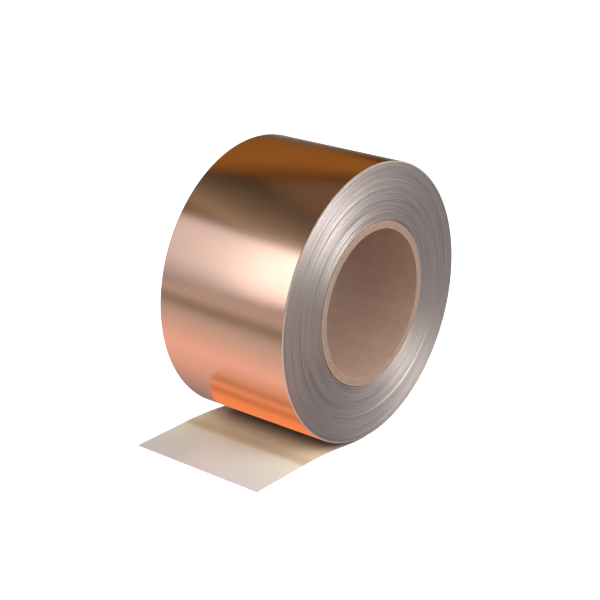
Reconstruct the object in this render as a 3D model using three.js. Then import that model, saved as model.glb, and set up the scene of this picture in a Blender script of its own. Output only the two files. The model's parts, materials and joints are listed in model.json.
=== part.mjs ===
// A roll of wide copper foil tape: a paperboard core, the wound tape (copper foil, adhesive film
// and paper release liner), and a short loose end that lies on the table in front of the roll.
//
// Millimetres, +Z up. The origin is on the table, in the middle of the line on which the roll
// stands. The roll's axis runs along Y at the height of its radius, and the tape pays out from
// under the roll towards -X, copper side down and liner side up.
import * as THREE from 'three';

// ---- Core -------------------------------------------------------------------------------------
const CORE_BORE_DIAMETER = 76.2;
const CORE_WALL = 3.7;
const CORE_PLY_COUNT = 6;
const CORE_LENGTH = 76.8;

// ---- Tape -------------------------------------------------------------------------------------
const ROLL_DIAMETER = 143;
const TAPE_WIDTH = 76.2;
const FOIL_THICKNESS = 0.05;
const ADHESIVE_THICKNESS = 0.05;
const LINER_THICKNESS = 0.1;

// ---- Starter tape, which holds the first turn to the core ----------------------------------------
const STARTER_TAPE_THICKNESS = 0.3;
const STARTER_TAPE_SEGMENTS = 5;
const STARTER_TAPE_MARGIN = 3;

// ---- Wound turns: each modelled turn stands for many real ones, in the same proportions ----------
const WOUND_TURNS = 5;
const WOUND_FILL = 0.99;
const TURNING_CLEARANCE = 0.5;

// ---- Loose end, measured along the table from the line on which the roll stands ------------------
const LEADER_REACH = 85.9;
const RISE_LENGTH = 12;
const CREST_LENGTH = 33;
const END_SLOPE = 0.0455;
const SLIDING_LENGTH = 10;
const FREE_END_LENGTH = 27.9;
const TAB_LENGTH = 15.5;
const BEND_GAP = 0.3;
const PEEL_GAP = 0.02;
const STRIP_STEP = 3;

// ---- Facets: one is centred at the bottom, so that the roll stands on a flat ----------------------
const SEGMENTS = 48;
const SEGMENT_ANGLE = (2 * Math.PI) / SEGMENTS;
const CORNER_FACTOR = 1 / Math.cos(SEGMENT_ANGLE / 2);
const TAIL_CORNER = SEGMENTS - 2;

// ---- Sizes worked out from those above -----------------------------------------------------------
const ROLL_RADIUS = ROLL_DIAMETER / 2;
const CORE_INNER_RADIUS = CORE_BORE_DIAMETER / 2;
const CORE_OUTER_RADIUS = CORE_INNER_RADIUS + CORE_WALL;
const TAPE_THICKNESS = FOIL_THICKNESS + ADHESIVE_THICKNESS + LINER_THICKNESS;
const WOUND_INNER_RADIUS = CORE_OUTER_RADIUS + STARTER_TAPE_THICKNESS;
const WOUND_OUTER_RADIUS = ROLL_RADIUS - 2 * TAPE_THICKNESS - TURNING_CLEARANCE;
const WOUND_PITCH = (WOUND_OUTER_RADIUS - WOUND_INNER_RADIUS) / WOUND_TURNS;
const STANDING_HALF_WIDTH = ROLL_RADIUS * Math.tan(SEGMENT_ANGLE / 2);
const FREE_END_REACH = LEADER_REACH - FREE_END_LENGTH;
const ARCH_REACH = FREE_END_REACH - SLIDING_LENGTH;
const TAB_REACH = LEADER_REACH - TAB_LENGTH;

// The depth of each layer below the copper face, as [start, end].
const FOIL_DEPTH = [0, FOIL_THICKNESS];
const ADHESIVE_DEPTH = [FOIL_THICKNESS, FOIL_THICKNESS + ADHESIVE_THICKNESS];
const LINER_DEPTH = [FOIL_THICKNESS + ADHESIVE_THICKNESS, TAPE_THICKNESS];
const TAB_DEPTH = [LINER_DEPTH[0] + PEEL_GAP, LINER_DEPTH[1] + PEEL_GAP];

// ---- Materials -----------------------------------------------------------------------------------
const copper = new THREE.MeshStandardMaterial({ color: '#c98262', roughness: 0.25, metalness: 1 });
const adhesive = new THREE.MeshStandardMaterial({ color: '#b8aa98', roughness: 0.5, metalness: 0 });
const liner = new THREE.MeshStandardMaterial({ color: '#d6cabd', roughness: 0.45, metalness: 0 });
const coil = new THREE.MeshStandardMaterial({ color: '#a29994', roughness: 0.35, metalness: 1 });
const board = new THREE.MeshStandardMaterial({ color: '#8f7463', roughness: 0.8, metalness: 0 });
const liningPaper = new THREE.MeshStandardMaterial({ color: '#84695a', roughness: 0.6, metalness: 0 });

// ---- Shapes --------------------------------------------------------------------------------------

// A corner of a faceted circle about the axis. Corner 0 is just past the bottom on the +X side and
// the numbers go up the +X side, over the top and down. The radius is the one to the flats.
function corner(radius, index) {
  const angle = -Math.PI / 2 + (index + 0.5) * SEGMENT_ANGLE;
  return new THREE.Vector2(Math.cos(angle), Math.sin(angle)).multiplyScalar(radius * CORNER_FACTOR);
}

// A solid of the given outline, which lies in the X-Z plane, centred on Y and as long as the width.
function solid(name, shape, width, material) {
  const geometry = new THREE.ExtrudeGeometry(shape, { depth: width, bevelEnabled: false });
  const mesh = new THREE.Mesh(geometry, material);
  mesh.name = name;
  mesh.rotation.x = Math.PI / 2;
  mesh.position.y = width / 2;
  return mesh;
}

function facetedCircle(radius) {
  return Array.from({ length: SEGMENTS }, (_, index) => corner(radius, index));
}

function ring(name, innerRadius, outerRadius, width, material) {
  const shape = new THREE.Shape(facetedCircle(outerRadius));
  shape.holes.push(new THREE.Path(facetedCircle(innerRadius)));
  return solid(name, shape, width, material);
}

// A band between two lines of points that run the same way. Ends of no thickness meet in one point.
function band(name, outerLine, innerLine, width, material) {
  const points = outerLine.concat(innerLine.slice().reverse());
  const outline = points.filter((point, index) => {
    const previous = points[(index + points.length - 1) % points.length];
    return !point.equals(previous);
  });
  return solid(name, new THREE.Shape(outline), width, material);
}

// ---- Core: glued paperboard plies with a lining paper inside and a cover paper outside -----------
function corePlies() {
  const plyThickness = CORE_WALL / CORE_PLY_COUNT;
  const plies = [];
  for (let ply = 0; ply < CORE_PLY_COUNT; ply += 1) {
    const innerRadius = CORE_INNER_RADIUS + ply * plyThickness;
    const outerRadius = CORE_INNER_RADIUS + (ply + 1) * plyThickness;
    plies.push(ring(`core_board_ply_${ply}`, innerRadius, outerRadius, CORE_LENGTH, board));
  }
  const lining = plies[0];
  const cover = plies[CORE_PLY_COUNT - 1];
  lining.name = 'core_lining_ply';
  cover.name = 'core_cover_ply';
  lining.material = liningPaper;
  cover.material = liningPaper;
  return plies;
}

function coreStarterTape() {
  const indices = Array.from({ length: STARTER_TAPE_SEGMENTS + 1 }, (_, index) => index);
  const outerLine = indices.map((index) => corner(WOUND_INNER_RADIUS, index));
  const innerLine = indices.map((index) => corner(CORE_OUTER_RADIUS, index));
  const width = TAPE_WIDTH - 2 * STARTER_TAPE_MARGIN;
  return band('core_starter_tape', outerLine, innerLine, width, liner);
}

// ---- Wound turns: three spirals, one inside the other ----------------------------------------------

// One layer of the wound tape, from one share of a turn's thickness to another, measured outwards.
// The spiral starts before the first full turn and runs past the last one, and what lies inside the
// core or outside the last turn is held to those circles. Its thickness leaves a sliver of air to
// the layer around it.
function woundLayer(name, innerShare, outerShare, material) {
  const radiusAt = (index, share) => {
    const radius = WOUND_INNER_RADIUS + WOUND_PITCH * (index / SEGMENTS + share);
    return THREE.MathUtils.clamp(radius, WOUND_INNER_RADIUS, WOUND_OUTER_RADIUS);
  };
  const firstCorner = -Math.round(outerShare * SEGMENTS);
  const lastCorner = Math.round((WOUND_TURNS - innerShare) * SEGMENTS);
  const innerLine = [];
  const outerLine = [];
  for (let index = firstCorner; index <= lastCorner; index += 1) {
    const innerRadius = radiusAt(index, innerShare);
    const outerRadius = THREE.MathUtils.lerp(innerRadius, radiusAt(index, outerShare), WOUND_FILL);
    innerLine.push(corner(innerRadius, index));
    outerLine.push(corner(outerRadius, index));
  }
  return band(name, outerLine, innerLine, TAPE_WIDTH, material);
}

function woundTurns() {
  const linerShare = LINER_THICKNESS / TAPE_THICKNESS;
  const adhesiveShare = linerShare + ADHESIVE_THICKNESS / TAPE_THICKNESS;
  return [
    woundLayer('wound_liner', 0, linerShare, liner),
    woundLayer('wound_adhesive', linerShare, adhesiveShare, adhesive),
    woundLayer('wound_foil', adhesiveShare, 1, coil),
  ];
}

// ---- Outer turn and loose end ------------------------------------------------------------------------

// The height of the copper face above the table: it rises from under the roll, bends over a crest
// and comes down straight to the table at the free end.
function stripHeight(reach) {
  const straightLength = LEADER_REACH - STANDING_HALF_WIDTH - RISE_LENGTH - CREST_LENGTH;
  const riseCurvature =
    (END_SLOPE * (2 * straightLength + CREST_LENGTH)) / (RISE_LENGTH * (RISE_LENGTH + CREST_LENGTH));
  const crestCurvature = (riseCurvature * RISE_LENGTH + END_SLOPE) / CREST_LENGTH;
  const alongRise = reach - STANDING_HALF_WIDTH;
  const alongCrest = alongRise - RISE_LENGTH;
  if (alongRise <= 0) return 0;
  if (alongCrest <= 0) return (riseCurvature * alongRise ** 2) / 2;
  if (alongCrest >= CREST_LENGTH) return END_SLOPE * (LEADER_REACH - reach);
  const crestStart = (riseCurvature * RISE_LENGTH ** 2) / 2;
  return crestStart + riseCurvature * RISE_LENGTH * alongCrest - (crestCurvature * alongCrest ** 2) / 2;
}

// The strip is faceted at even steps, so that layers of different lengths lie flat on each other.
function facetedHeight(reach) {
  const steps = (reach - STANDING_HALF_WIDTH) / STRIP_STEP;
  const facetStart = STANDING_HALF_WIDTH + Math.floor(steps) * STRIP_STEP;
  const share = steps - Math.floor(steps);
  return THREE.MathUtils.lerp(stripHeight(facetStart), stripHeight(facetStart + STRIP_STEP), share);
}

// Points of the strip from one reach to another, at a depth above its copper face.
function stripLine(startReach, endReach, depth) {
  const reaches = [startReach];
  const firstStep = Math.floor((startReach - STANDING_HALF_WIDTH) / STRIP_STEP) + 1;
  const lastStep = Math.ceil((endReach - STANDING_HALF_WIDTH) / STRIP_STEP) - 1;
  for (let step = firstStep; step <= lastStep; step += 1) {
    reaches.push(STANDING_HALF_WIDTH + step * STRIP_STEP);
  }
  reaches.push(endReach);
  return reaches.map((reach) => new THREE.Vector2(-reach, facetedHeight(reach) + depth));
}

// Points of the outermost turn, from its tail down the -X side to the flat that the roll stands on.
// It closes in by one thickness of tape in a turn.
function outerTurnLine(depth) {
  const axis = new THREE.Vector2(0, ROLL_RADIUS);
  const points = [];
  for (let index = TAIL_CORNER; index >= 0; index -= 1) {
    const radius = ROLL_RADIUS - TAPE_THICKNESS * (index / SEGMENTS) - depth;
    points.push(corner(radius, index).add(axis));
  }
  return points;
}

function stripLayer(name, startReach, endReach, [bottom, top], material) {
  const lowerLine = stripLine(startReach, endReach, bottom);
  const upperLine = stripLine(startReach, endReach, top);
  return band(name, lowerLine, upperLine, TAPE_WIDTH, material);
}

function outerTurnLayer(name, [bottom, top], material) {
  const line = (depth) =>
    outerTurnLine(depth).concat(stripLine(STANDING_HALF_WIDTH, ARCH_REACH, depth));
  return band(name, line(bottom), line(top), TAPE_WIDTH, material);
}

// ---- Assembly ----------------------------------------------------------------------------------------
const roll = new THREE.Group();
roll.add(...corePlies(), coreStarterTape(), ...woundTurns());
roll.position.z = ROLL_RADIUS;

const outerTurn = new THREE.Group();
outerTurn.add(
  outerTurnLayer('outer_turn_foil', FOIL_DEPTH, copper),
  outerTurnLayer('outer_turn_adhesive', ADHESIVE_DEPTH, adhesive),
  outerTurnLayer('outer_turn_liner', LINER_DEPTH, liner),
);

const leader = new THREE.Group();
leader.add(
  stripLayer('leader_foil', ARCH_REACH + BEND_GAP, FREE_END_REACH, FOIL_DEPTH, copper),
  stripLayer('leader_adhesive', ARCH_REACH + BEND_GAP, FREE_END_REACH, ADHESIVE_DEPTH, adhesive),
  stripLayer('leader_liner', ARCH_REACH + BEND_GAP, FREE_END_REACH, LINER_DEPTH, liner),
);

const freeEndStart = FREE_END_REACH + BEND_GAP;
const freeEnd = new THREE.Group();
freeEnd.add(
  stripLayer('free_end_foil', freeEndStart, LEADER_REACH, FOIL_DEPTH, copper),
  stripLayer('free_end_adhesive', freeEndStart, LEADER_REACH, ADHESIVE_DEPTH, adhesive),
  stripLayer('free_end_liner', freeEndStart, TAB_REACH - BEND_GAP, LINER_DEPTH, liner),
);

const linerTab = stripLayer('liner_tab', TAB_REACH, LEADER_REACH, TAB_DEPTH, liner);

const tapeRoll = new THREE.Group();
tapeRoll.add(outerTurn, roll, leader, freeEnd, linerTab);

export default tapeRoll;
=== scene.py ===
"""A roll of wide copper foil tape, with its loose end lying in front of it.

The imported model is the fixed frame. Each operator makes one piece or group of like pieces around
it: the copper outer turn, the wound tape, the paperboard core, the strip that pays out from under
the roll and its peelable liner. All sizes are in metres, with +Z up and the roll's axis along Y.
"""
import json
import math
import random

import bpy
from mathutils import Matrix, Vector

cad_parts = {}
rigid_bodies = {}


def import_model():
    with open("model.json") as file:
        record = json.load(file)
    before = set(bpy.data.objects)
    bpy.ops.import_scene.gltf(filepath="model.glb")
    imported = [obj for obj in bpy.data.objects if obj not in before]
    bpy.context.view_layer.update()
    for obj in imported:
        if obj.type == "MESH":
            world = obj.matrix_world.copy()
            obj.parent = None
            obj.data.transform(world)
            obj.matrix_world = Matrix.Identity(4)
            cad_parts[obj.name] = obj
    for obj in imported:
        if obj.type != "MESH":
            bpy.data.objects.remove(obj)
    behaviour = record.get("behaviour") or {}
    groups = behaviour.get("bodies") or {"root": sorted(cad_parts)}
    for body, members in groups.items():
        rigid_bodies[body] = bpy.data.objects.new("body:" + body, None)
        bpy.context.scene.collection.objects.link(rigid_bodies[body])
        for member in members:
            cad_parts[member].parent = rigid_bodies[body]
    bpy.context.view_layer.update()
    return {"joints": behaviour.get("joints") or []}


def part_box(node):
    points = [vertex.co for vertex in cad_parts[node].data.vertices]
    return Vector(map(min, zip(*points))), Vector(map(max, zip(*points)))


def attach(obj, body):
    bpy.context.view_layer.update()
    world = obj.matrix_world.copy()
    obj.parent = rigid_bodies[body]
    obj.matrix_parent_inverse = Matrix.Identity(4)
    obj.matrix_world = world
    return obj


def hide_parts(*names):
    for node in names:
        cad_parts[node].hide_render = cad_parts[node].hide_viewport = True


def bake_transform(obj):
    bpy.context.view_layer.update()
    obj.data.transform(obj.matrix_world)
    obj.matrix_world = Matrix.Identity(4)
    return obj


bl_info = {
    "name": "Copper Foil Tape Roll",
    "version": (1, 0, 0),
    "blender": (4, 5, 0),
    "location": "3D View > Sidebar > Tape Roll",
    "description": "Builds a roll of copper foil tape around its packed frame",
    "category": "Add Mesh",
}

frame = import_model()
JOINTS = {joint["name"]: joint for joint in frame["joints"]}

# ---- What the frame says ---------------------------------------------------------------
AXIS_HEIGHT = JOINTS["roll_turn"]["pos_m"][2]
ROLL_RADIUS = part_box("outer_turn_foil")[1][0]
TAPE_HALF_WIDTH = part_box("outer_turn_foil")[1][1]
CORE_HALF_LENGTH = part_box("core_cover_ply")[1][1]
CORE_OUTER_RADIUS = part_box("core_cover_ply")[1][0]
LEADER_REACH = -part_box("free_end_foil")[0][0]
LEADER_START = -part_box("leader_foil")[1][0]
FREE_END_START = -JOINTS["free_end_lift"]["pos_m"][0]
TAB_START = -JOINTS["liner_peel"]["pos_m"][0]
AXIS_POINT = Vector((0, 0, AXIS_HEIGHT))
# Half of one of the 48 flats that the frame's round bodies have. The roll stands on one of them.
FLAT_HALF_ANGLE = math.pi / 48
STANDING = ROLL_RADIUS * math.tan(FLAT_HALF_ANGLE)

# ---- How the pieces are made -----------------------------------------------------------
MM = 0.001
SMOOTH_ANGLE = math.radians(35)
RING_STEPS = 192
MERGE_DISTANCE = 1e-6

# The outer turn ends just short of a full circle, under the roll, where the strip leaves it.
OUTER_TURN_SWEEP = math.radians(357)
OUTER_TURN_STEPS = 238
CURL_STEPS = 6
CURL_STEP_ANGLE = 15
ANGLE_TOLERANCE = 1e-4
# How squarely a face has to face a side to take that side's finish, as a dot product.
EDGE_FACING = 0.55
SHEET_FACING = 0.5

WOUND_RINGS = 120
WOUND_STEPS = 180
WOUND_GAP_INSIDE = 0.3 * MM
WOUND_GAP_OUTSIDE = 0.25 * MM
# Steps in the winding, where the slitter's tension changed: (radius, depth), in millimetres.
WINDING_STEPS = ((57.0, -0.16), (58.7, 0.10), (47.0, -0.08), (49.5, 0.06), (63.0, -0.08), (66.5, 0.05))
WINDING_STEP_WIDTH = 0.35
WINDING_RIM_DEPTH = -0.1
WINDING_MOST_PROUD = 0.12

BOARD_PLIES = 9
COVER_THICKNESS = 0.4 * MM
PLY_GAP = 0.01 * MM
LINING_EDGE = 0.12 * MM
COVER_EDGE = 0.1 * MM

STARTER_SWEEP = 10 * FLAT_HALF_ANGLE
STARTER_COLUMNS = 24
STARTER_ROWS = 10
STARTER_GAP = 0.04 * MM
STARTER_THICKNESS = 0.2 * MM

STRIP_STEP = 1.0 * MM
STRIP_ROWS = 12
TAB_OVERLAP = 1.5 * MM
# How far each bend in the strip would spread from where its bodies meet; the last two start on
# their hinges. The sheets are not bent by them.
ARCH_SPREAD = (-9 * MM, 2 * MM)
FREE_END_SPREAD = (0, 5 * MM)
TAB_SPREAD = (0, 2.6 * MM)

TABLE_SIZE = 8
TABLE_DROP = 0.05 * MM
GLOW_HEIGHT = 2.6 * MM
GLOW_END = -20 * MM


# ---- Sizes and colours that a user would change ----------------------------------------
class TapeRollSizes(bpy.types.PropertyGroup):
    core_wall: bpy.props.FloatProperty(
        name="Core wall", description="Thickness of the paperboard tube",
        default=3.7 * MM, unit="LENGTH")
    core_lining: bpy.props.FloatProperty(
        name="Core lining", description="Thickness of the smooth paper inside the core",
        default=0.45 * MM, unit="LENGTH")
    foil: bpy.props.FloatProperty(
        name="Foil", description="Thickness of the copper foil with its adhesive",
        default=0.1 * MM, unit="LENGTH")
    liner: bpy.props.FloatProperty(
        name="Liner", description="Thickness of the release liner",
        default=0.1 * MM, unit="LENGTH")
    edge_curl: bpy.props.FloatProperty(
        name="Edge curl", description="Radius that the outer turn's edges are pressed over to",
        default=0.65 * MM, unit="LENGTH")
    rise_length: bpy.props.FloatProperty(
        name="Rise", description="Length over which the strip leaves the table",
        default=12 * MM, unit="LENGTH")
    crest_length: bpy.props.FloatProperty(
        name="Crest", description="Length over which the strip bends down again",
        default=33 * MM, unit="LENGTH")
    end_slope: bpy.props.FloatProperty(
        name="End slope", description="How steeply the straight end comes down to the table",
        default=0.0455)


class TapeRollColours(bpy.types.PropertyGroup):
    copper: bpy.props.StringProperty(
        name="Copper", description="Rolled copper foil, sRGB hex", default="F7CEBC")
    winding: bpy.props.StringProperty(
        name="Winding", description="Slit edges of the wound tape, sRGB hex", default="DDD2CE")
    liner: bpy.props.StringProperty(
        name="Liner", description="Silicone coated release liner, sRGB hex", default="D6CFC7")
    adhesive: bpy.props.StringProperty(
        name="Adhesive", description="Acrylic adhesive on the foil, sRGB hex", default="B9A58E")
    board: bpy.props.StringProperty(
        name="Board", description="Cut paperboard plies, sRGB hex", default="9E8676")
    lining: bpy.props.StringProperty(
        name="Lining", description="Kraft paper inside the core, sRGB hex", default="B09180")


class TapeRollStage(bpy.types.PropertyGroup):
    azimuth: bpy.props.FloatProperty(
        name="Azimuth", description="Camera angle about Z from the -Y side",
        default=math.radians(-52.79), subtype="ANGLE")
    elevation: bpy.props.FloatProperty(
        name="Elevation", description="Camera angle above the table",
        default=math.radians(18.955), subtype="ANGLE")
    tilt: bpy.props.FloatProperty(
        name="Tilt", description="Camera turn about its own axis",
        default=math.radians(2.54), subtype="ANGLE")
    distance: bpy.props.FloatProperty(
        name="Distance", description="Camera distance from its target",
        default=0.7757, unit="LENGTH")
    lens: bpy.props.FloatProperty(
        name="Lens", description="Focal length in millimetres on a 36 mm sensor", default=91.98)
    target: bpy.props.FloatVectorProperty(
        name="Target", description="Point in the middle of the view",
        default=(-5.21 * MM, 3.04 * MM, 64.76 * MM), subtype="XYZ")


PROPERTY_GROUPS = {
    "tape_roll_sizes": TapeRollSizes,
    "tape_roll_colours": TapeRollColours,
    "tape_roll_stage": TapeRollStage,
}


# ---- Helpers for meshes ----------------------------------------------------------------
def deselect_all():
    """Leaves nothing selected."""
    for obj in bpy.context.selected_objects:
        obj.select_set(False)


def ready(obj):
    """Makes obj the only selected and active object."""
    deselect_all()
    obj.select_set(True)
    bpy.context.view_layer.objects.active = obj


def newest(name):
    """Names the primitive that was just added and makes it the only selected object."""
    obj = bpy.context.object
    obj.name = name
    obj.data.name = name
    ready(obj)
    return obj


def apply_modifier(obj, kind, **settings):
    """Adds a modifier to the object and applies it."""
    ready(obj)
    modifier = obj.modifiers.new(kind.title(), kind)
    for key, value in settings.items():
        setattr(modifier, key, value)
    bpy.ops.object.modifier_apply(modifier=modifier.name)


def settle(obj):
    """Applies the object's place to its mesh and smooths it, keeping its sharp edges."""
    ready(obj)
    bpy.ops.object.transform_apply(location=True, rotation=True, scale=True)
    bpy.ops.object.shade_smooth_by_angle(angle=SMOOTH_ANGLE)


def turned_ring(name, profile, steps=RING_STEPS, turn=2 * math.pi):
    """A ring turned about the roll's axis from a closed profile of (radius, y) points.

    It starts as a circle with a corner for each point of the profile, hanging under the axis.
    """
    deselect_all()
    bpy.ops.mesh.primitive_circle_add(vertices=len(profile), radius=ROLL_RADIUS)
    obj = newest(name)
    for vertex, (radius, y) in zip(obj.data.vertices, profile):
        vertex.co = (0, y, AXIS_HEIGHT - radius)
    bpy.ops.object.mode_set(mode="EDIT")
    bpy.ops.mesh.select_all(action="SELECT")
    bpy.ops.mesh.spin(steps=steps, angle=turn, center=AXIS_POINT, axis=(0, -1, 0))
    bpy.ops.mesh.select_all(action="SELECT")
    bpy.ops.mesh.remove_doubles(threshold=MERGE_DISTANCE)
    bpy.ops.mesh.select_all(action="DESELECT")
    bpy.ops.mesh.select_non_manifold(use_wire=False, use_multi_face=False, use_verts=False)
    if turn < 2 * math.pi:
        bpy.ops.mesh.fill()
    bpy.ops.mesh.select_all(action="SELECT")
    bpy.ops.mesh.normals_make_consistent(inside=False)
    bpy.ops.object.mode_set(mode="OBJECT")
    return obj


def around_axis(co):
    """(radius, angle) of a point about the roll's axis; 0 is under it and angles grow towards +X."""
    height = co.z - AXIS_HEIGHT
    return math.hypot(co.x, height), math.atan2(co.x, -height) % (2 * math.pi)


def rounded_profile(inner, outer, half_length, edge, points=5):
    """A closed (radius, y) profile of a ring's wall, with each of its four edges rounded."""
    corners = (
        (outer - edge, half_length - edge, 0),
        (inner + edge, half_length - edge, 90),
        (inner + edge, edge - half_length, 180),
        (outer - edge, edge - half_length, 270),
    )
    profile = []
    for radius, y, start in corners:
        for step in range(points):
            angle = math.radians(start + 90 * step / (points - 1))
            profile.append((radius + edge * math.cos(angle), y + edge * math.sin(angle)))
    return profile


def strip_height(reach, sizes):
    """Height of the strip's copper face at a distance along the table from under the axis."""
    straight = LEADER_REACH - STANDING - sizes.rise_length - sizes.crest_length
    along_rise = reach - STANDING
    along_crest = along_rise - sizes.rise_length
    span = sizes.rise_length * (sizes.rise_length + sizes.crest_length)
    rise = sizes.end_slope * (2 * straight + sizes.crest_length) / span
    crest = (rise * sizes.rise_length + sizes.end_slope) / sizes.crest_length
    if along_rise <= 0:
        return 0
    if along_crest <= 0:
        return rise * along_rise ** 2 / 2
    if along_crest >= sizes.crest_length:
        return sizes.end_slope * (LEADER_REACH - reach)
    start = rise * sizes.rise_length ** 2 / 2
    return start + rise * sizes.rise_length * along_crest - crest * along_crest ** 2 / 2


def spread_from(hinge, spread):
    """Where a bend at a hinge's reach starts and ends, as points on the strip's copper face."""
    sizes = bpy.context.scene.tape_roll_sizes
    reaches = [hinge + length for length in spread]
    return [(-reach, 0, strip_height(reach, sizes)) for reach in reaches]


def strip(name, start, end, bottom, thickness, sizes):
    """A stretch of the loose strip from one reach to another, bottom above the copper face."""
    columns = max(2, round((end - start) / STRIP_STEP))
    deselect_all()
    bpy.ops.mesh.primitive_grid_add(x_subdivisions=columns, y_subdivisions=STRIP_ROWS, size=1)
    obj = newest(name)
    for vertex in obj.data.vertices:
        reach = start + (end - start) * (0.5 - vertex.co.x)
        height = strip_height(reach, sizes) + bottom
        vertex.co = (-reach, vertex.co.y * 2 * TAPE_HALF_WIDTH, height)
    apply_modifier(obj, "SOLIDIFY", thickness=thickness, offset=1)
    return obj


def paint_faces(obj, chosen, index):
    """Gives the faces that the test picks another of the object's materials."""
    for face in obj.data.polygons:
        if chosen(face):
            face.material_index = index


# ---- Helpers for materials -------------------------------------------------------------
def linear(hex_colour):
    """An sRGB hex colour as linear red, green, blue and alpha."""
    channels = [int(hex_colour[i:i + 2], 16) / 255 for i in (0, 2, 4)]
    low = 0.04045
    return [c / 12.92 if c <= low else ((c + 0.055) / 1.055) ** 2.4 for c in channels] + [1]


def scaled(colour, factor):
    """A linear colour made darker or lighter."""
    return [min(1, channel * factor) for channel in colour[:3]] + [1]


def set_inputs(tree, node, inputs):
    """Sets a node's inputs: a socket is linked, and any other value is set on the input itself."""
    for key, value in inputs.items():
        if isinstance(value, bpy.types.NodeSocket):
            tree.links.new(value, node.inputs[key])
        else:
            node.inputs[key].default_value = value


def add_node(tree, kind, settings=None, inputs=None):
    """Adds a node. Settings are its own values; inputs are socket values, or sockets to link."""
    node = tree.nodes.new(kind)
    for key, value in (settings or {}).items():
        setattr(node, key, value)
    set_inputs(tree, node, inputs or {})
    return node


def colour_ramp(tree, factor, stops):
    """A ramp through (position, linear colour) stops."""
    ramp = add_node(tree, "ShaderNodeValToRGB", inputs={0: factor})
    elements = ramp.color_ramp.elements
    while len(elements) < len(stops):
        elements.new(0.5)
    for element, (position, colour) in zip(elements, stops):
        element.position = position
        element.color = (*colour, 1)
    return ramp.outputs[0]


def maths(tree, operation, *values):
    """A sum with its values in the order of the node's inputs."""
    return add_node(tree, "ShaderNodeMath", {"operation": operation}, dict(enumerate(values)))


def map_range(tree, value, low, high, new_low, new_high):
    """The value, clamped to low..high and brought over to the new range."""
    return add_node(tree, "ShaderNodeMapRange", inputs={
        0: value, 1: low, 2: high, 3: new_low, 4: new_high})


def noise(tree, place, width, detail, roughness=0.5):
    """Noise whose patches are about half of the width across."""
    return add_node(tree, "ShaderNodeTexNoise", inputs={
        "Vector": place, "Scale": 1 / width, "Detail": detail, "Roughness": roughness})


def line_noise(tree, along, width):
    """Noise that changes in one direction only, in fine lines."""
    return add_node(tree, "ShaderNodeTexNoise", {"noise_dimensions": "1D"}, {
        "W": along, "Scale": 1 / width, "Detail": 2, "Roughness": 0.6})


def bump(tree, strength, distance, height):
    """The normal of a surface that the height lifts by up to the distance."""
    return add_node(tree, "ShaderNodeBump", inputs={
        "Strength": strength, "Distance": distance, "Height": height}).outputs[0]


def tone_between(tree, factor, dark, light):
    """A colour between two others."""
    return add_node(tree, "ShaderNodeMix", {"data_type": "RGBA"}, {
        "Factor": factor, 6: dark, 7: light}).outputs[2]


def empty_material(name):
    """A material that has no nodes yet, and its tree."""
    material = bpy.data.materials.new(name)
    material.use_nodes = True
    material.node_tree.nodes.clear()
    return material, material.node_tree


def new_material(name):
    """A material with only its output and a Principled shader."""
    material, tree = empty_material(name)
    shader = add_node(tree, "ShaderNodeBsdfPrincipled")
    add_node(tree, "ShaderNodeOutputMaterial", inputs={"Surface": shader.outputs[0]})
    return material, tree, shader


def object_place(tree):
    """Object coordinates, whole and as separate X, Y and Z."""
    place = add_node(tree, "ShaderNodeTexCoord").outputs["Object"]
    return place, add_node(tree, "ShaderNodeSeparateXYZ", inputs={0: place}).outputs


def about_axis(tree):
    """Object coordinates measured from the roll's axis, and the radius there."""
    place = add_node(tree, "ShaderNodeTexCoord").outputs["Object"]
    centred = add_node(
        tree, "ShaderNodeMapping", inputs={"Vector": place, "Location": (0, 0, -AXIS_HEIGHT)})
    flat = add_node(
        tree, "ShaderNodeVectorMath", {"operation": "MULTIPLY"},
        {0: centred.outputs[0], 1: (1, 0, 1)})
    radius = add_node(tree, "ShaderNodeVectorMath", {"operation": "LENGTH"}, {0: flat.outputs[0]})
    return centred.outputs[0], flat.outputs[0], radius.outputs["Value"]


def arc_noise(tree, outward, radius, width, turn, detail):
    """Noise in arcs round the axis: so wide across the turns, and turn wide patches round them."""
    along = add_node(
        tree, "ShaderNodeVectorMath", {"operation": "SCALE"}, {0: outward, "Scale": turn})
    across = maths(tree, "DIVIDE", radius, width)
    stacked = add_node(tree, "ShaderNodeCombineXYZ", inputs={"Y": across.outputs[0]})
    place = add_node(
        tree, "ShaderNodeVectorMath", {"operation": "ADD"},
        {0: along.outputs[0], 1: stacked.outputs[0]})
    return noise(tree, place.outputs[0], 1.0, detail, 0.6).outputs["Fac"]


# ---- Materials -------------------------------------------------------------------------
def rolled_copper_foil(colours):
    """Bright rolled copper foil. The rolling lines run along the tape, so they are fine lines that
    stay at one place across its width; handling leaves soft, slightly duller patches."""
    material, tree, shader = new_material("rolled_copper_foil")
    place, axes = object_place(tree)
    # Real rolling lines are about 0.05 mm apart; they are drawn 0.35 mm apart so that they show.
    lines = line_noise(tree, axes["Y"], 0.7 * MM)
    patches = noise(tree, place, 45 * MM, 3)
    dull = map_range(tree, patches.outputs["Fac"], 0.35, 0.75, 0.15, 0.22)
    rough = maths(tree, "MULTIPLY_ADD", lines.outputs["Fac"], 0.05, dull.outputs[0])
    tone = tone_between(
        tree, patches.outputs["Fac"], scaled(linear(colours.copper), 0.94), linear(colours.copper))
    relief = bump(tree, 0.12, 0.02 * MM, lines.outputs["Fac"])
    set_inputs(tree, shader, {
        "Base Color": tone, "Metallic": 1, "Roughness": rough.outputs[0],
        "Normal": relief})
    return material


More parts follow.
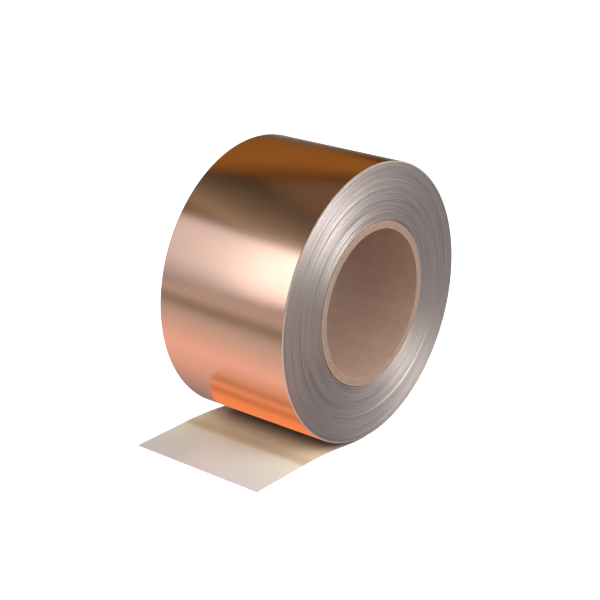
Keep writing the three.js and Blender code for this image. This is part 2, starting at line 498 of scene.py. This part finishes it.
def slit_tape_edges(colours):
    """The slit edges of foil and liner, turn upon turn. Each edge is a fine bright or dull arc, so
    the face shines in ragged streaks that point at the axis, as a turned face does."""
    material, tree, shader = new_material("slit_tape_edges")
    _, flat, radius = about_axis(tree)
    outward = add_node(
        tree, "ShaderNodeVectorMath", {"operation": "NORMALIZE"}, {0: flat}).outputs[0]
    # One turn is 0.165 mm thick; the finest arcs are drawn 0.4 mm wide so that they show.
    turns = arc_noise(tree, outward, radius, 0.42 * MM, 0.8, 3)
    waves = arc_noise(tree, outward, radius, 0.9 * MM, 1.6, 3)
    gaps = arc_noise(tree, outward, radius, 0.6 * MM, 0.9, 1)
    mixed = maths(tree, "MULTIPLY_ADD", waves, 0.6, turns)
    shade = map_range(tree, mixed.outputs[0], 0.55, 1.05, 0.0, 1.0)
    gap = map_range(tree, gaps, 0.62, 0.7, 1.0, 0.55)
    tone = tone_between(
        tree, shade.outputs[0], scaled(linear(colours.winding), 0.7), linear(colours.winding))
    darkened = add_node(
        tree, "ShaderNodeVectorMath", {"operation": "SCALE"},
        {0: tone, "Scale": gap.outputs[0]})
    rough = map_range(tree, turns, 0.3, 0.7, 0.38, 0.52)
    relief = bump(tree, 0.9, 0.08 * MM, turns)
    # Each arc is dragged a little to one side, which frays the ends of the streaks.
    round_axis = add_node(
        tree, "ShaderNodeVectorMath", {"operation": "CROSS_PRODUCT"}, {0: outward, 1: (0, 1, 0)})
    drag = map_range(tree, waves, 0.3, 0.7, -0.1, 0.1)
    dragged = add_node(
        tree, "ShaderNodeVectorMath", {"operation": "SCALE"},
        {0: round_axis.outputs[0], "Scale": drag.outputs[0]})
    brushed = add_node(
        tree, "ShaderNodeVectorMath", {"operation": "ADD"}, {0: outward, 1: dragged.outputs[0]})
    tangent = add_node(
        tree, "ShaderNodeVectorTransform",
        {"vector_type": "VECTOR", "convert_from": "OBJECT", "convert_to": "WORLD"},
        {0: brushed.outputs[0]})
    set_inputs(tree, shader, {
        "Base Color": darkened.outputs[0], "Metallic": 1, "Roughness": rough.outputs[0],
        "Anisotropic": 0.82, "Tangent": tangent.outputs[0], "Normal": relief})
    return material


def burnished_edge(colours):
    """The cut edge of the outer turn: bare metal rubbed pale where the slitter pressed it over."""
    material, tree, shader = new_material("burnished_slit_edge")
    place = add_node(tree, "ShaderNodeTexCoord").outputs["Object"]
    wear = noise(tree, place, 7 * MM, 3)
    tone = tone_between(
        tree, wear.outputs["Fac"], scaled(linear(colours.winding), 0.9), linear("FFF4EE"))
    set_inputs(tree, shader, {
        "Base Color": tone, "Metallic": 0.5, "Roughness": 0.42})
    return material


LINER_TONE = 0.65


def release_liner(colours):
    """Silicone coated paper: a pale sheet under a smooth film that mirrors what stands on it. Along the
    strip its colour holds painted shade and painted reflections: a painted shadow where it runs under
    the roll, then pale and brown bands that stand in for the copper mirrored in the film."""
    material, tree, shader = new_material("silicone_release_liner")
    place, axes = object_place(tree)
    clouds = noise(tree, place, 14 * MM, 3, 0.5)
    tone = tone_between(
        tree, clouds.outputs["Fac"], scaled(linear(colours.liner), 0.95), linear(colours.liner))
    # The ramp runs over the first 100 mm from under the axis. A stop as grey as LINER_TONE leaves
    # the liner's own colour.
    reach = maths(tree, "MULTIPLY", axes["X"], -1 / (100 * MM))
    # Painted light: dark up to 23 mm out is a painted shadow where the strip runs under the roll; the
    # pale and brown bands after it are painted reflections of the copper, and it grows greyer towards
    # 85 mm.
    painted_reflection_and_shade = colour_ramp(tree, reach.outputs[0], (
        (0.0, (0.38, 0.37, 0.36)), (0.23, (0.38, 0.36, 0.34)), (0.31, (0.70, 0.63, 0.52)),
        (0.36, (0.86, 0.77, 0.62)), (0.42, (0.84, 0.77, 0.63)), (0.465, (0.66, 0.60, 0.44)),
        (0.495, (0.64, 0.59, 0.43)), (0.53, (0.84, 0.86, 0.78)), (0.60, (0.80, 0.82, 0.79)),
        (0.70, (0.69, 0.71, 0.70)), (0.85, (0.58, 0.60, 0.64))))
    banded = add_node(
        tree, "ShaderNodeVectorMath", {"operation": "MULTIPLY"}, {0: tone, 1: painted_reflection_and_shade})
    tint = add_node(
        tree, "ShaderNodeVectorMath", {"operation": "SCALE"},
        {0: banded.outputs[0], "Scale": 1 / LINER_TONE})
    relief = bump(tree, 0.1, 0.05 * MM, clouds.outputs["Fac"])
    set_inputs(tree, shader, {
        "Base Color": tint.outputs[0], "Roughness": 0.3, "IOR": 1.5, "Coat Weight": 1.0,
        "Coat Roughness": 0.1, "Coat IOR": 1.7, "Normal": relief})
    return material


def acrylic_adhesive(colours):
    """Clear acrylic adhesive on the back of the foil: a wet, slightly uneven film."""
    material, tree, shader = new_material("acrylic_adhesive")
    place = add_node(tree, "ShaderNodeTexCoord").outputs["Object"]
    ripples = noise(tree, place, 1.5 * MM, 3, 0.5)
    tone = tone_between(
        tree, ripples.outputs["Fac"], scaled(linear(colours.adhesive), 0.9), linear(colours.adhesive))
    relief = bump(tree, 0.2, 0.05 * MM, ripples.outputs["Fac"])
    set_inputs(tree, shader, {
        "Base Color": tone, "Metallic": 0.4, "Roughness": 0.3,
        "IOR": 1.47, "Normal": relief})
    return material


def cut_paperboard(colours):
    """Grey-brown recycled board, cut across: fine plies one inside the other and short fibres."""
    material, tree, shader = new_material("cut_paperboard")
    centred, _, radius = about_axis(tree)
    plies = line_noise(tree, radius, 0.7 * MM)
    fibres = noise(tree, centred, 0.9 * MM, 4, 0.7)
    mixed = maths(tree, "MULTIPLY_ADD", plies.outputs["Fac"], 0.8, fibres.outputs["Fac"])
    shade = map_range(tree, mixed.outputs[0], 0.6, 1.2, 0.0, 1.0)
    tone = tone_between(
        tree, shade.outputs[0], scaled(linear(colours.board), 0.72), linear(colours.board))
    relief = bump(tree, 0.5, 0.08 * MM, mixed.outputs[0])
    set_inputs(tree, shader, {
        "Base Color": tone, "Roughness": 0.75, "IOR": 1.45,
        "Normal": relief})
    return material


def kraft_lining(colours):
    """Calendered kraft paper: smooth, with faint flecks and the low sheen of pressed fibres."""
    material, tree, shader = new_material("kraft_lining_paper")
    place = add_node(tree, "ShaderNodeTexCoord").outputs["Object"]
    mottle = noise(tree, place, 5 * MM, 4, 0.6)
    flecks = noise(tree, place, 0.7 * MM, 2, 0.6)
    mixed = maths(tree, "MULTIPLY_ADD", flecks.outputs["Fac"], 0.4, mottle.outputs["Fac"])
    shade = map_range(tree, mixed.outputs[0], 0.4, 1.0, 0.0, 1.0)
    tone = tone_between(
        tree, shade.outputs[0], scaled(linear(colours.lining), 0.86), linear(colours.lining))
    relief = bump(tree, 0.12, 0.04 * MM, flecks.outputs["Fac"])
    set_inputs(tree, shader, {
        "Base Color": tone, "Roughness": 0.5, "IOR": 1.45,
        "Normal": relief})
    return material


def material_named(name):
    """A finish made once, from the scene's colours, and shared by the pieces that need it."""
    colours = bpy.context.scene.tape_roll_colours
    makers = {
        "rolled_copper_foil": lambda: rolled_copper_foil(colours),
        "slit_tape_edges": lambda: slit_tape_edges(colours),
        "burnished_slit_edge": lambda: burnished_edge(colours),
        "silicone_release_liner": lambda: release_liner(colours),
        "acrylic_adhesive": lambda: acrylic_adhesive(colours),
        "cut_paperboard": lambda: cut_paperboard(colours),
        "kraft_lining_paper": lambda: kraft_lining(colours),
    }
    return bpy.data.materials.get(name) or makers[name]()


def dress(obj, *names):
    """Gives the object the named materials, in that order."""
    for name in names:
        obj.data.materials.append(material_named(name))


# ---- Pieces ----------------------------------------------------------------------------
class TAPEROLL_OT_outer_turn(bpy.types.Operator):
    """Winds the outermost turn of foil and liner round the roll, its edges pressed over inwards"""
    bl_idname = "taperoll.outer_turn"
    bl_label = "Outer turn"

    def execute(self, context):
        sizes = context.scene.tape_roll_sizes
        tape = sizes.foil + sizes.liner
        obj = turned_ring(
            "copper_outer_turn", self.profile(tape, sizes.edge_curl), OUTER_TURN_STEPS,
            OUTER_TURN_SWEEP)
        for vertex in obj.data.vertices:
            radius, angle = around_axis(vertex.co)
            if angle > OUTER_TURN_SWEEP + ANGLE_TOLERANCE:
                # The first section, whose angle was rounded to a full turn.
                angle = 0
            closer = (radius - tape * angle / (2 * math.pi)) / radius
            vertex.co.x *= closer
            vertex.co.z = AXIS_HEIGHT + (vertex.co.z - AXIS_HEIGHT) * closer
        dress(obj, "rolled_copper_foil", "silicone_release_liner", "burnished_slit_edge")
        paint_faces(obj, self.faces_in, 1)
        paint_faces(obj, lambda face: abs(face.normal.y) > EDGE_FACING, 2)
        settle(obj)
        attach(obj, "outer_turn")
        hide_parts("outer_turn_foil", "outer_turn_adhesive", "outer_turn_liner")
        return {"FINISHED"}

    def profile(self, tape, curl):
        """A sheet of even thickness whose two long edges curl towards the axis."""
        outside = []
        inside = []
        opening = [math.radians(CURL_STEP_ANGLE * step) for step in range(CURL_STEPS + 1)]
        for side, angles in ((1, reversed(opening)), (-1, opening)):
            for angle in angles:
                across, up = math.sin(angle), math.cos(angle)
                for line, reach in ((outside, curl), (inside, curl - tape)):
                    line.append((
                        ROLL_RADIUS - curl + reach * up,
                        side * (TAPE_HALF_WIDTH - curl + reach * across)))
        return outside + inside[::-1]

    def faces_in(self, face):
        """Whether a face is on the liner's side of the turn, away from the curled edges."""
        out = Vector((face.center.x, 0, face.center.z - AXIS_HEIGHT)).normalized()
        return face.normal.dot(out) < -SHEET_FACING


class TAPEROLL_OT_wound_tape(bpy.types.Operator):
    """Builds the wound tape, whose end faces show the edge of each turn"""
    bl_idname = "taperoll.wound_tape"
    bl_label = "Wound tape"

    def execute(self, context):
        sizes = context.scene.tape_roll_sizes
        inner = CORE_OUTER_RADIUS + WOUND_GAP_INSIDE
        outer = ROLL_RADIUS - 2 * (sizes.foil + sizes.liner) - WOUND_GAP_OUTSIDE
        draw = random.Random(4)
        # How far each ring of turns stands in or out, how that changes round the roll, and where.
        waves = [(draw.gauss(0, 0.02), draw.uniform(0, 0.03), draw.uniform(0, 2 * math.pi))
                 for _ in range(WOUND_RINGS + 1)]
        width = outer - inner
        radii = [inner + width * index / WOUND_RINGS for index in range(WOUND_RINGS + 1)]
        front = [(radius, -TAPE_HALF_WIDTH) for radius in radii]
        back = [(radius, TAPE_HALF_WIDTH) for radius in reversed(radii)]
        obj = turned_ring("wound_tape", front + back, WOUND_STEPS)
        for vertex in obj.data.vertices:
            radius, angle = around_axis(vertex.co)
            index = min(WOUND_RINGS, max(0, round((radius - inner) / width * WOUND_RINGS)))
            depth, swing, phase = waves[index]
            offset = depth + swing * math.cos(angle - phase)
            for step_radius, step_depth in WINDING_STEPS:
                off_step = (radius / MM - step_radius) / WINDING_STEP_WIDTH
                offset += step_depth * math.exp(-off_step ** 2)
            if index in (0, WOUND_RINGS):
                offset = WINDING_RIM_DEPTH
            side = 1 if vertex.co.y > 0 else -1
            vertex.co.y += side * min(WINDING_MOST_PROUD, offset) * MM
        dress(obj, "slit_tape_edges")
        settle(obj)
        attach(obj, "roll")
        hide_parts("wound_foil", "wound_adhesive", "wound_liner")
        return {"FINISHED"}


class TAPEROLL_OT_core(bpy.types.Operator):
    """Builds the paperboard core: board plies, a lining paper and a cover paper"""
    bl_idname = "taperoll.core"
    bl_label = "Core"

    def execute(self, context):
        sizes = context.scene.tape_roll_sizes
        bore = CORE_OUTER_RADIUS - sizes.core_wall
        lined = bore + sizes.core_lining
        covered = CORE_OUTER_RADIUS - COVER_THICKNESS
        board = self.board(lined, covered)
        lining = turned_ring(
            "core_lining", rounded_profile(bore, lined - PLY_GAP, CORE_HALF_LENGTH, LINING_EDGE))
        cover = turned_ring(
            "core_cover",
            rounded_profile(covered + PLY_GAP, CORE_OUTER_RADIUS, CORE_HALF_LENGTH, COVER_EDGE))
        self.roughen(lining, 0.10, 0.08, 11)
        self.roughen(cover, 0.03, 0.06, 12)
        for obj, finish, nodes in (
            (board, "cut_paperboard", [f"core_board_ply_{ply}" for ply in range(1, 5)]),
            (lining, "kraft_lining_paper", ["core_lining_ply"]),
            (cover, "kraft_lining_paper", ["core_cover_ply"]),
        ):
            dress(obj, finish)
            settle(obj)
            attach(obj, "roll")
            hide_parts(*nodes)
        return {"FINISHED"}

    def board(self, inner, outer):
        """The plies between the papers: their cut ends stand a little in and out of each other."""
        draw = random.Random(9)
        bands = 2 * BOARD_PLIES
        radii = [inner + (outer - inner) * index / bands for index in range(bands + 1)]
        depths = [draw.uniform(-0.09, 0.0) if index % 2 else -0.12 for index in range(len(radii))]
        front = [(r, -CORE_HALF_LENGTH - d * MM) for r, d in zip(radii, depths)]
        back = [(r, CORE_HALF_LENGTH + d * MM) for r, d in zip(reversed(radii), reversed(depths))]
        obj = turned_ring("core_board", front + back)
        self.roughen(obj, 0.0, 0.07, 10)
        return obj

    def roughen(self, obj, radial, axial, seed):
        """Lets the cut ends wander in short waves round the core, by so many millimetres."""
        draw = random.Random(seed)
        waves = [(draw.randint(3, 70), draw.uniform(0, 2 * math.pi), draw.uniform(0.3, 1))
                 for _ in range(14)]
        total = sum(weight for _, _, weight in waves)
        for vertex in obj.data.vertices:
            radius, angle = around_axis(vertex.co)
            share = sum(w * math.sin(n * angle + p) for n, p, w in waves) / total * 3
            near_end = max(0, 1 - (CORE_HALF_LENGTH - abs(vertex.co.y)) / (0.6 * MM))
            side = 1 if vertex.co.y > 0 else -1
            vertex.co.y -= side * near_end * axial * MM * (0.5 + 0.5 * share)
            grown = 1 + near_end * radial * MM * share / radius
            vertex.co.x *= grown
            vertex.co.z = AXIS_HEIGHT + (vertex.co.z - AXIS_HEIGHT) * grown


class TAPEROLL_OT_starter_tape(bpy.types.Operator):
    """Lays the short strip that holds the first turn to the core"""
    bl_idname = "taperoll.starter_tape"
    bl_label = "Starter tape"

    def execute(self, context):
        low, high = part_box("core_starter_tape")
        half_width = high[1]
        deselect_all()
        bpy.ops.mesh.primitive_grid_add(
            x_subdivisions=STARTER_COLUMNS, y_subdivisions=STARTER_ROWS, size=1)
        obj = newest("starter_tape")
        radius = CORE_OUTER_RADIUS + STARTER_GAP
        for vertex in obj.data.vertices:
            angle = FLAT_HALF_ANGLE + STARTER_SWEEP * (vertex.co.x + 0.5)
            vertex.co = (
                radius * math.sin(angle), vertex.co.y * 2 * half_width,
                AXIS_HEIGHT - radius * math.cos(angle))
        apply_modifier(obj, "SOLIDIFY", thickness=STARTER_THICKNESS, offset=-1)
        dress(obj, "acrylic_adhesive")
        settle(obj)
        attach(obj, "roll")
        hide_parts("core_starter_tape")
        return {"FINISHED"}


class TAPEROLL_OT_loose_end(bpy.types.Operator):
    """Lays the loose end: foil with its adhesive below, release liner on top"""
    bl_idname = "taperoll.loose_end"
    bl_label = "Loose end"

    def execute(self, context):
        sizes = context.scene.tape_roll_sizes
        seam = (LEADER_START + FREE_END_START) / 2
        tab_seam = TAB_START - TAB_OVERLAP
        top = sizes.foil
        arch = {"bodies": ("outer_turn", "leader"), "zone": spread_from(LEADER_START, ARCH_SPREAD)}
        end = {"bodies": ("leader", "free_end"), "zone": spread_from(FREE_END_START, FREE_END_SPREAD)}
        self.lay("leader_foil_sheet", 0, seam, 0, sizes.foil, arch, "copper_foil",
                 ["leader_foil", "leader_adhesive"])
        self.lay("leader_liner_sheet", 0, seam, top, sizes.liner, arch, "release_liner",
                 ["leader_liner"])
        self.lay("free_end_foil_sheet", seam, LEADER_REACH, 0, sizes.foil, end, "copper_foil",
                 ["free_end_foil", "free_end_adhesive"])
        self.lay("free_end_liner_sheet", seam, tab_seam, top, sizes.liner, end, "release_liner",
                 ["free_end_liner"])
        return {"FINISHED"}

    def lay(self, name, start, end, bottom, thickness, crossing, slot, nodes):
        """One sheet of the strip, laid along the strip's curve."""
        sizes = bpy.context.scene.tape_roll_sizes
        obj = strip(name, start, end, bottom, thickness, sizes)
        if slot == "copper_foil":
            dress(obj, "rolled_copper_foil", "acrylic_adhesive")
            paint_faces(obj, lambda face: face.normal.z > SHEET_FACING, 1)
        else:
            dress(obj, "silicone_release_liner")
        settle(obj)
        zone = crossing["zone"]
        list(crossing["bodies"])
        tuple(zone[0])
        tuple(zone[1])
        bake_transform(obj)
        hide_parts(*nodes)


class TAPEROLL_OT_liner_tab(bpy.types.Operator):
    """Lays the end of the liner flat on the adhesive, where it would be peeled back"""
    bl_idname = "taperoll.liner_tab"
    bl_label = "Liner tab"

    def execute(self, context):
        sizes = context.scene.tape_roll_sizes
        start = TAB_START - TAB_OVERLAP
        obj = strip("liner_tab_sheet", start, LEADER_REACH, sizes.foil, sizes.liner, sizes)
        dress(obj, "silicone_release_liner")
        settle(obj)
        zone = spread_from(TAB_START, TAB_SPREAD)
        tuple(zone[0])
        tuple(zone[1])
        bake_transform(obj)
        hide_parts("liner_tab")
        return {"FINISHED"}


# ---- Stage -----------------------------------------------------------------------------
def soft_glow(name, colour, strength, across, upwards, clear):
    """An emitting material for a studio card, graded across it and from its foot to its top.

    A clear card adds its light to what is behind it, and doesn't hide that.
    """
    material, tree = empty_material(name)
    _, axes = object_place(tree)
    shares = []
    for axis, stops in (("X", across), ("Y", upwards)):
        along = maths(tree, "ADD", axes[axis], 0.5)
        grey = [(position, (share / 2, share / 2, share / 2)) for position, share in stops]
        shares.append(colour_ramp(tree, along.outputs[0], grey))
    both = maths(tree, "MULTIPLY", shares[0], shares[1])
    # A ramp holds shares up to 1, so both hold halves and the strength makes up for it.
    power = maths(tree, "MULTIPLY", both.outputs[0], strength * 4)
    light = add_node(
        tree, "ShaderNodeEmission", inputs={"Color": linear(colour), "Strength": power.outputs[0]})
    if clear:
        through = add_node(tree, "ShaderNodeBsdfTransparent")
        light = add_node(
            tree, "ShaderNodeAddShader", inputs={0: light.outputs[0], 1: through.outputs[0]})
    add_node(tree, "ShaderNodeOutputMaterial", inputs={"Surface": light.outputs[0]})
    return material


# How a card fades towards its edges.
SOFT = ((0.0, 0.0), (0.12, 1.0), (0.88, 1.0), (1.0, 0.0))


def studio_card(
        name, place, size, colour, strength, across=SOFT, upwards=SOFT, roll=0, lights=True,
        clear=False):
    """A soft light panel that faces the roll and that the camera doesn't see.

    Its place is an azimuth counted from +X towards +Y, an elevation and a distance from the axis.
    Across runs towards a larger azimuth. Cards that don't light only show in reflections.
    """
    azimuth, elevation, distance = place
    direction = Vector((
        math.cos(math.radians(elevation)) * math.cos(math.radians(azimuth)),
        math.cos(math.radians(elevation)) * math.sin(math.radians(azimuth)),
        math.sin(math.radians(elevation))))
    deselect_all()
    bpy.ops.mesh.primitive_plane_add(size=1, location=AXIS_POINT + direction * distance)
    card = newest(name)
    facing = direction.to_track_quat("Z", "Y").to_matrix()
    turned = facing @ Matrix.Rotation(math.radians(roll), 3, "Z")
    card.rotation_euler = turned.to_euler()
    card.scale = (*size, 1)
    card.data.materials.append(soft_glow(name, colour, strength, across, upwards, clear))
    card.visible_camera = False
    card.visible_diffuse = lights
    return card


class TAPEROLL_OT_stage(bpy.types.Operator):
    """Sets the pale table, the studio cards, the surroundings and the camera"""
    bl_idname = "taperoll.stage"
    bl_label = "Stage"

    def execute(self, context):
        self.floor()
        self.table_glow()
        self.strip_glow()
        self.cards()
        self.surroundings(context.scene)
        self.camera(context.scene)
        context.scene.view_settings.view_transform = "Standard"
        return {"FINISHED"}

    def level_card(self, name, size, place, material):
        """A plane that lies flat and takes one material."""
        deselect_all()
        bpy.ops.mesh.primitive_plane_add(size=size, location=place)
        card = newest(name)
        card.data.materials.append(material)
        return card

    def floor(self):
        """The white table as the camera sees it."""
        material, tree, shader = new_material("white_table")
        path = add_node(tree, "ShaderNodeLightPath")
        set_inputs(tree, shader, {
            "Base Color": linear("A8A4A0"), "Roughness": 0.9,
            "Emission Color": (1, 1, 1, 1), "Emission Strength": path.outputs["Is Camera Ray"]})
        floor = self.level_card("white_table", TABLE_SIZE, (0, 0, -TABLE_DROP), material)
        floor.visible_glossy = False

    def table_glow(self):
        """The table as the metal mirrors it: brighter and warmer close in, with a dark far edge."""
        material, tree = empty_material("mirrored_table")
        _, axes = object_place(tree)
        left = maths(tree, "MULTIPLY", axes["X"], -1.0)
        # Metres from under the axis.
        ramp = colour_ramp(tree, left.outputs[0], (
            (0.0, (0.36, 0.35, 0.36)), (0.03, (0.30, 0.24, 0.22)), (0.07, (0.80, 0.52, 0.44)),
            (0.095, (0.95, 0.62, 0.52)), (0.13, (0.72, 0.55, 0.46)), (0.16, (0.60, 0.52, 0.45)),
            (0.21, (0.46, 0.43, 0.38)), (0.24, (0.22, 0.19, 0.16)), (0.31, (0.22, 0.19, 0.16)),
            (0.36, (0.54, 0.46, 0.41)), (0.90, (0.54, 0.46, 0.41))))
        light = add_node(tree, "ShaderNodeEmission", inputs={"Color": ramp, "Strength": 1.0})
        add_node(tree, "ShaderNodeOutputMaterial", inputs={"Surface": light.outputs[0]})
        table = self.level_card("mirrored_table", TABLE_SIZE, (0, 0, -2 * TABLE_DROP), material)
        table.visible_camera = False
        table.visible_diffuse = False

    def strip_glow(self):
        """The warm light that copper and liner throw back and forth between them, as the copper
        mirrors it. It faces up and lies just over the strip, and only reflections see it."""
        material, tree = empty_material("strip_glow")
        _, axes = object_place(tree)
        along = maths(tree, "ADD", axes["X"], 0.5)
        ramp = colour_ramp(tree, along.outputs[0], (
            (0.0, (0.86, 0.52, 0.38)), (0.18, (0.80, 0.45, 0.29)), (0.31, (0.50, 0.24, 0.12)),
            (0.42, (0.98, 0.42, 0.20)), (0.52, (0.58, 0.22, 0.09)), (0.64, (0.98, 0.35, 0.13)),
            (1.0, (0.98, 0.28, 0.10))))
        light = add_node(tree, "ShaderNodeEmission", inputs={"Color": ramp, "Strength": 1.0})
        clear = add_node(tree, "ShaderNodeBsdfTransparent")
        back = add_node(tree, "ShaderNodeNewGeometry")
        path = add_node(tree, "ShaderNodeLightPath")
        # Only the first reflection sees it, and only from above.
        later = maths(tree, "GREATER_THAN", path.outputs["Ray Depth"], 1.5)
        hidden = maths(tree, "MAXIMUM", back.outputs["Backfacing"], later.outputs[0])
        both = add_node(
            tree, "ShaderNodeMixShader",
            inputs={0: hidden.outputs[0], 1: light.outputs[0], 2: clear.outputs[0]})
        add_node(tree, "ShaderNodeOutputMaterial", inputs={"Surface": both.outputs[0]})
        middle = ((GLOW_END - LEADER_REACH) / 2, 0, GLOW_HEIGHT)
        glow_card = self.level_card("strip_glow", 1, middle, material)
        glow_card.scale = (GLOW_END + LEADER_REACH, 2 * TAPE_HALF_WIDTH, 1)
        glow_card.visible_camera = False
        glow_card.visible_diffuse = False

    def cards(self):
        """The window and the room that the copper mirrors, and the light on the end faces."""
        studio_card(
            "window_card", (144, 19.5, 0.8), (0.78, 0.56), "FFFFFF", 1.0,
            ((0.0, 0.28), (0.18, 0.68), (0.36, 0.8), (0.47, 0.9), (0.62, 1.8), (0.95, 1.7), (1.0, 0.6)),
            ((0.0, 0.5), (0.14, 0.72), (0.34, 0.98), (0.87, 1.1), (0.95, 0.8), (1.0, 0.45)), roll=8)
        studio_card(
            "window_haze", (122, 50, 0.8), (0.8, 0.3), "E8D8B8", 0.62,
            ((0.0, 0.2), (0.3, 0.7), (1.0, 1.0)), ((0.0, 1.0), (0.35, 0.5), (1.0, 0.15)), lights=False)
        studio_card(
            "horizon_card", (140, -2, 0.9), (0.6, 0.12), "DCD4CC", 0.62,
            upwards=((0.0, 0.8), (1.0, 1.0)), lights=False)
        studio_card(
            "warm_top_card", (58, 36, 0.9), (1.0, 0.7), "A27032", 0.85,
            upwards=((0.0, 0.7), (0.4, 0.9), (0.7, 1.0), (1.0, 0.1)), lights=False)
        face_card = studio_card(
            "face_card", (-80, 27, 0.8), (1.15, 1.05), "FFFFFF", 8.2,
            ((0.0, 0.0), (0.22, 0.22), (0.5, 1.0), (0.78, 0.22), (1.0, 0.0)),
            ((0.0, 0.0), (0.2, 0.3), (0.5, 1.0), (0.8, 0.3), (1.0, 0.0)), clear=True)
        studio_card(
            "copper_card", (-80, 30, 0.9), (1.0, 0.6), "FFF6EE", 0.85,
            ((0.0, 0.0), (0.25, 0.6), (0.6, 1.0), (0.8, 0.9), (1.0, 0.0)),
            ((0.0, 0.2), (0.3, 0.8), (0.85, 1.0), (1.0, 0.2)))
        # The copper would mirror this strong card as a hole, so it lights every piece but that one.
        lit = bpy.data.collections.new("lit_by_face_card")
        for obj in bpy.data.objects:
            if obj.type == "MESH" and obj.name != "copper_outer_turn":
                lit.objects.link(obj)
        face_card.light_linking.receiver_collection = lit
        studio_card(
            "side_card", (-30, 28, 0.9), (0.8, 0.9), "FFF6F0", 1.1,
            ((0.0, 0.0), (0.3, 1.0), (0.7, 1.0), (1.0, 0.0)), ((0.0, 0.4), (0.3, 1.0), (1.0, 0.6)))

    def surroundings(self, scene):
        """White behind the object as the camera sees it, and a dim grey room for the metal."""
        world = bpy.data.worlds.new("studio")
        scene.world = world
        world.use_nodes = True
        tree = world.node_tree
        tree.nodes.clear()
        path = add_node(tree, "ShaderNodeLightPath")
        seen = add_node(tree, "ShaderNodeBackground", inputs={"Color": (1, 1, 1, 1), "Strength": 1.0})
        soft = add_node(tree, "ShaderNodeBackground", inputs={"Color": (1, 1, 1, 1), "Strength": 1.15})
        dim = add_node(
            tree, "ShaderNodeBackground", inputs={"Color": (0.165, 0.115, 0.068, 1), "Strength": 1.0})
        lit = add_node(
            tree, "ShaderNodeMixShader",
            inputs={0: path.outputs["Is Diffuse Ray"], 1: dim.outputs[0], 2: soft.outputs[0]})
        both = add_node(
            tree, "ShaderNodeMixShader",
            inputs={0: path.outputs["Is Camera Ray"], 1: lit.outputs[0], 2: seen.outputs[0]})
        add_node(tree, "ShaderNodeOutputWorld", inputs={"Surface": both.outputs[0]})

    def camera(self, scene):
        """The camera, placed by its angles, its distance and the point it looks at."""
        stage = scene.tape_roll_stage
        data = bpy.data.cameras.new("camera")
        data.lens = stage.lens
        data.sensor_width = 36
        data.clip_end = 20
        camera = bpy.data.objects.new("camera", data)
        scene.collection.objects.link(camera)
        away = Vector((
            math.sin(stage.azimuth) * math.cos(stage.elevation),
            -math.cos(stage.azimuth) * math.cos(stage.elevation),
            math.sin(stage.elevation)))
        facing = away.to_track_quat("Z", "Y").to_matrix().to_4x4()
        turned = facing @ Matrix.Rotation(stage.tilt, 4, "Z")
        camera.matrix_world = Matrix.Translation(
            Vector(stage.target) + away * stage.distance) @ turned
        scene.camera = camera


# ---- Panel and registration ------------------------------------------------------------
class TAPEROLL_PT_panel(bpy.types.Panel):
    """Lists the operators and the sizes that they use"""
    bl_idname = "TAPEROLL_PT_panel"
    bl_label = "Copper Foil Tape Roll"
    bl_space_type = "VIEW_3D"
    bl_region_type = "UI"
    bl_category = "Tape Roll"

    def draw(self, context):
        layout = self.layout
        for group in PROPERTY_GROUPS:
            box = layout.box()
            properties = getattr(context.scene, group)
            for name in properties.bl_rna.properties.keys():
                if name not in ("rna_type", "name"):
                    box.prop(properties, name)
        for operator in OPERATORS:
            layout.operator(operator.bl_idname)


OPERATORS = (
    TAPEROLL_OT_outer_turn,
    TAPEROLL_OT_wound_tape,
    TAPEROLL_OT_core,
    TAPEROLL_OT_starter_tape,
    TAPEROLL_OT_loose_end,
    TAPEROLL_OT_liner_tab,
    TAPEROLL_OT_stage,
)


def register():
    for cls in (*PROPERTY_GROUPS.values(), *OPERATORS, TAPEROLL_PT_panel):
        bpy.utils.register_class(cls)
    for name, group in PROPERTY_GROUPS.items():
        setattr(bpy.types.Scene, name, bpy.props.PointerProperty(type=group))


def unregister():
    for name in PROPERTY_GROUPS:
        delattr(bpy.types.Scene, name)
    for cls in reversed((*PROPERTY_GROUPS.values(), *OPERATORS, TAPEROLL_PT_panel)):
        bpy.utils.unregister_class(cls)


def main():
    register()
    for operator in OPERATORS:
        category, name = operator.bl_idname.split(".")
        getattr(getattr(bpy.ops, category), name)()
    bpy.context.view_layer.update()


if __name__ == "__main__":
    main()
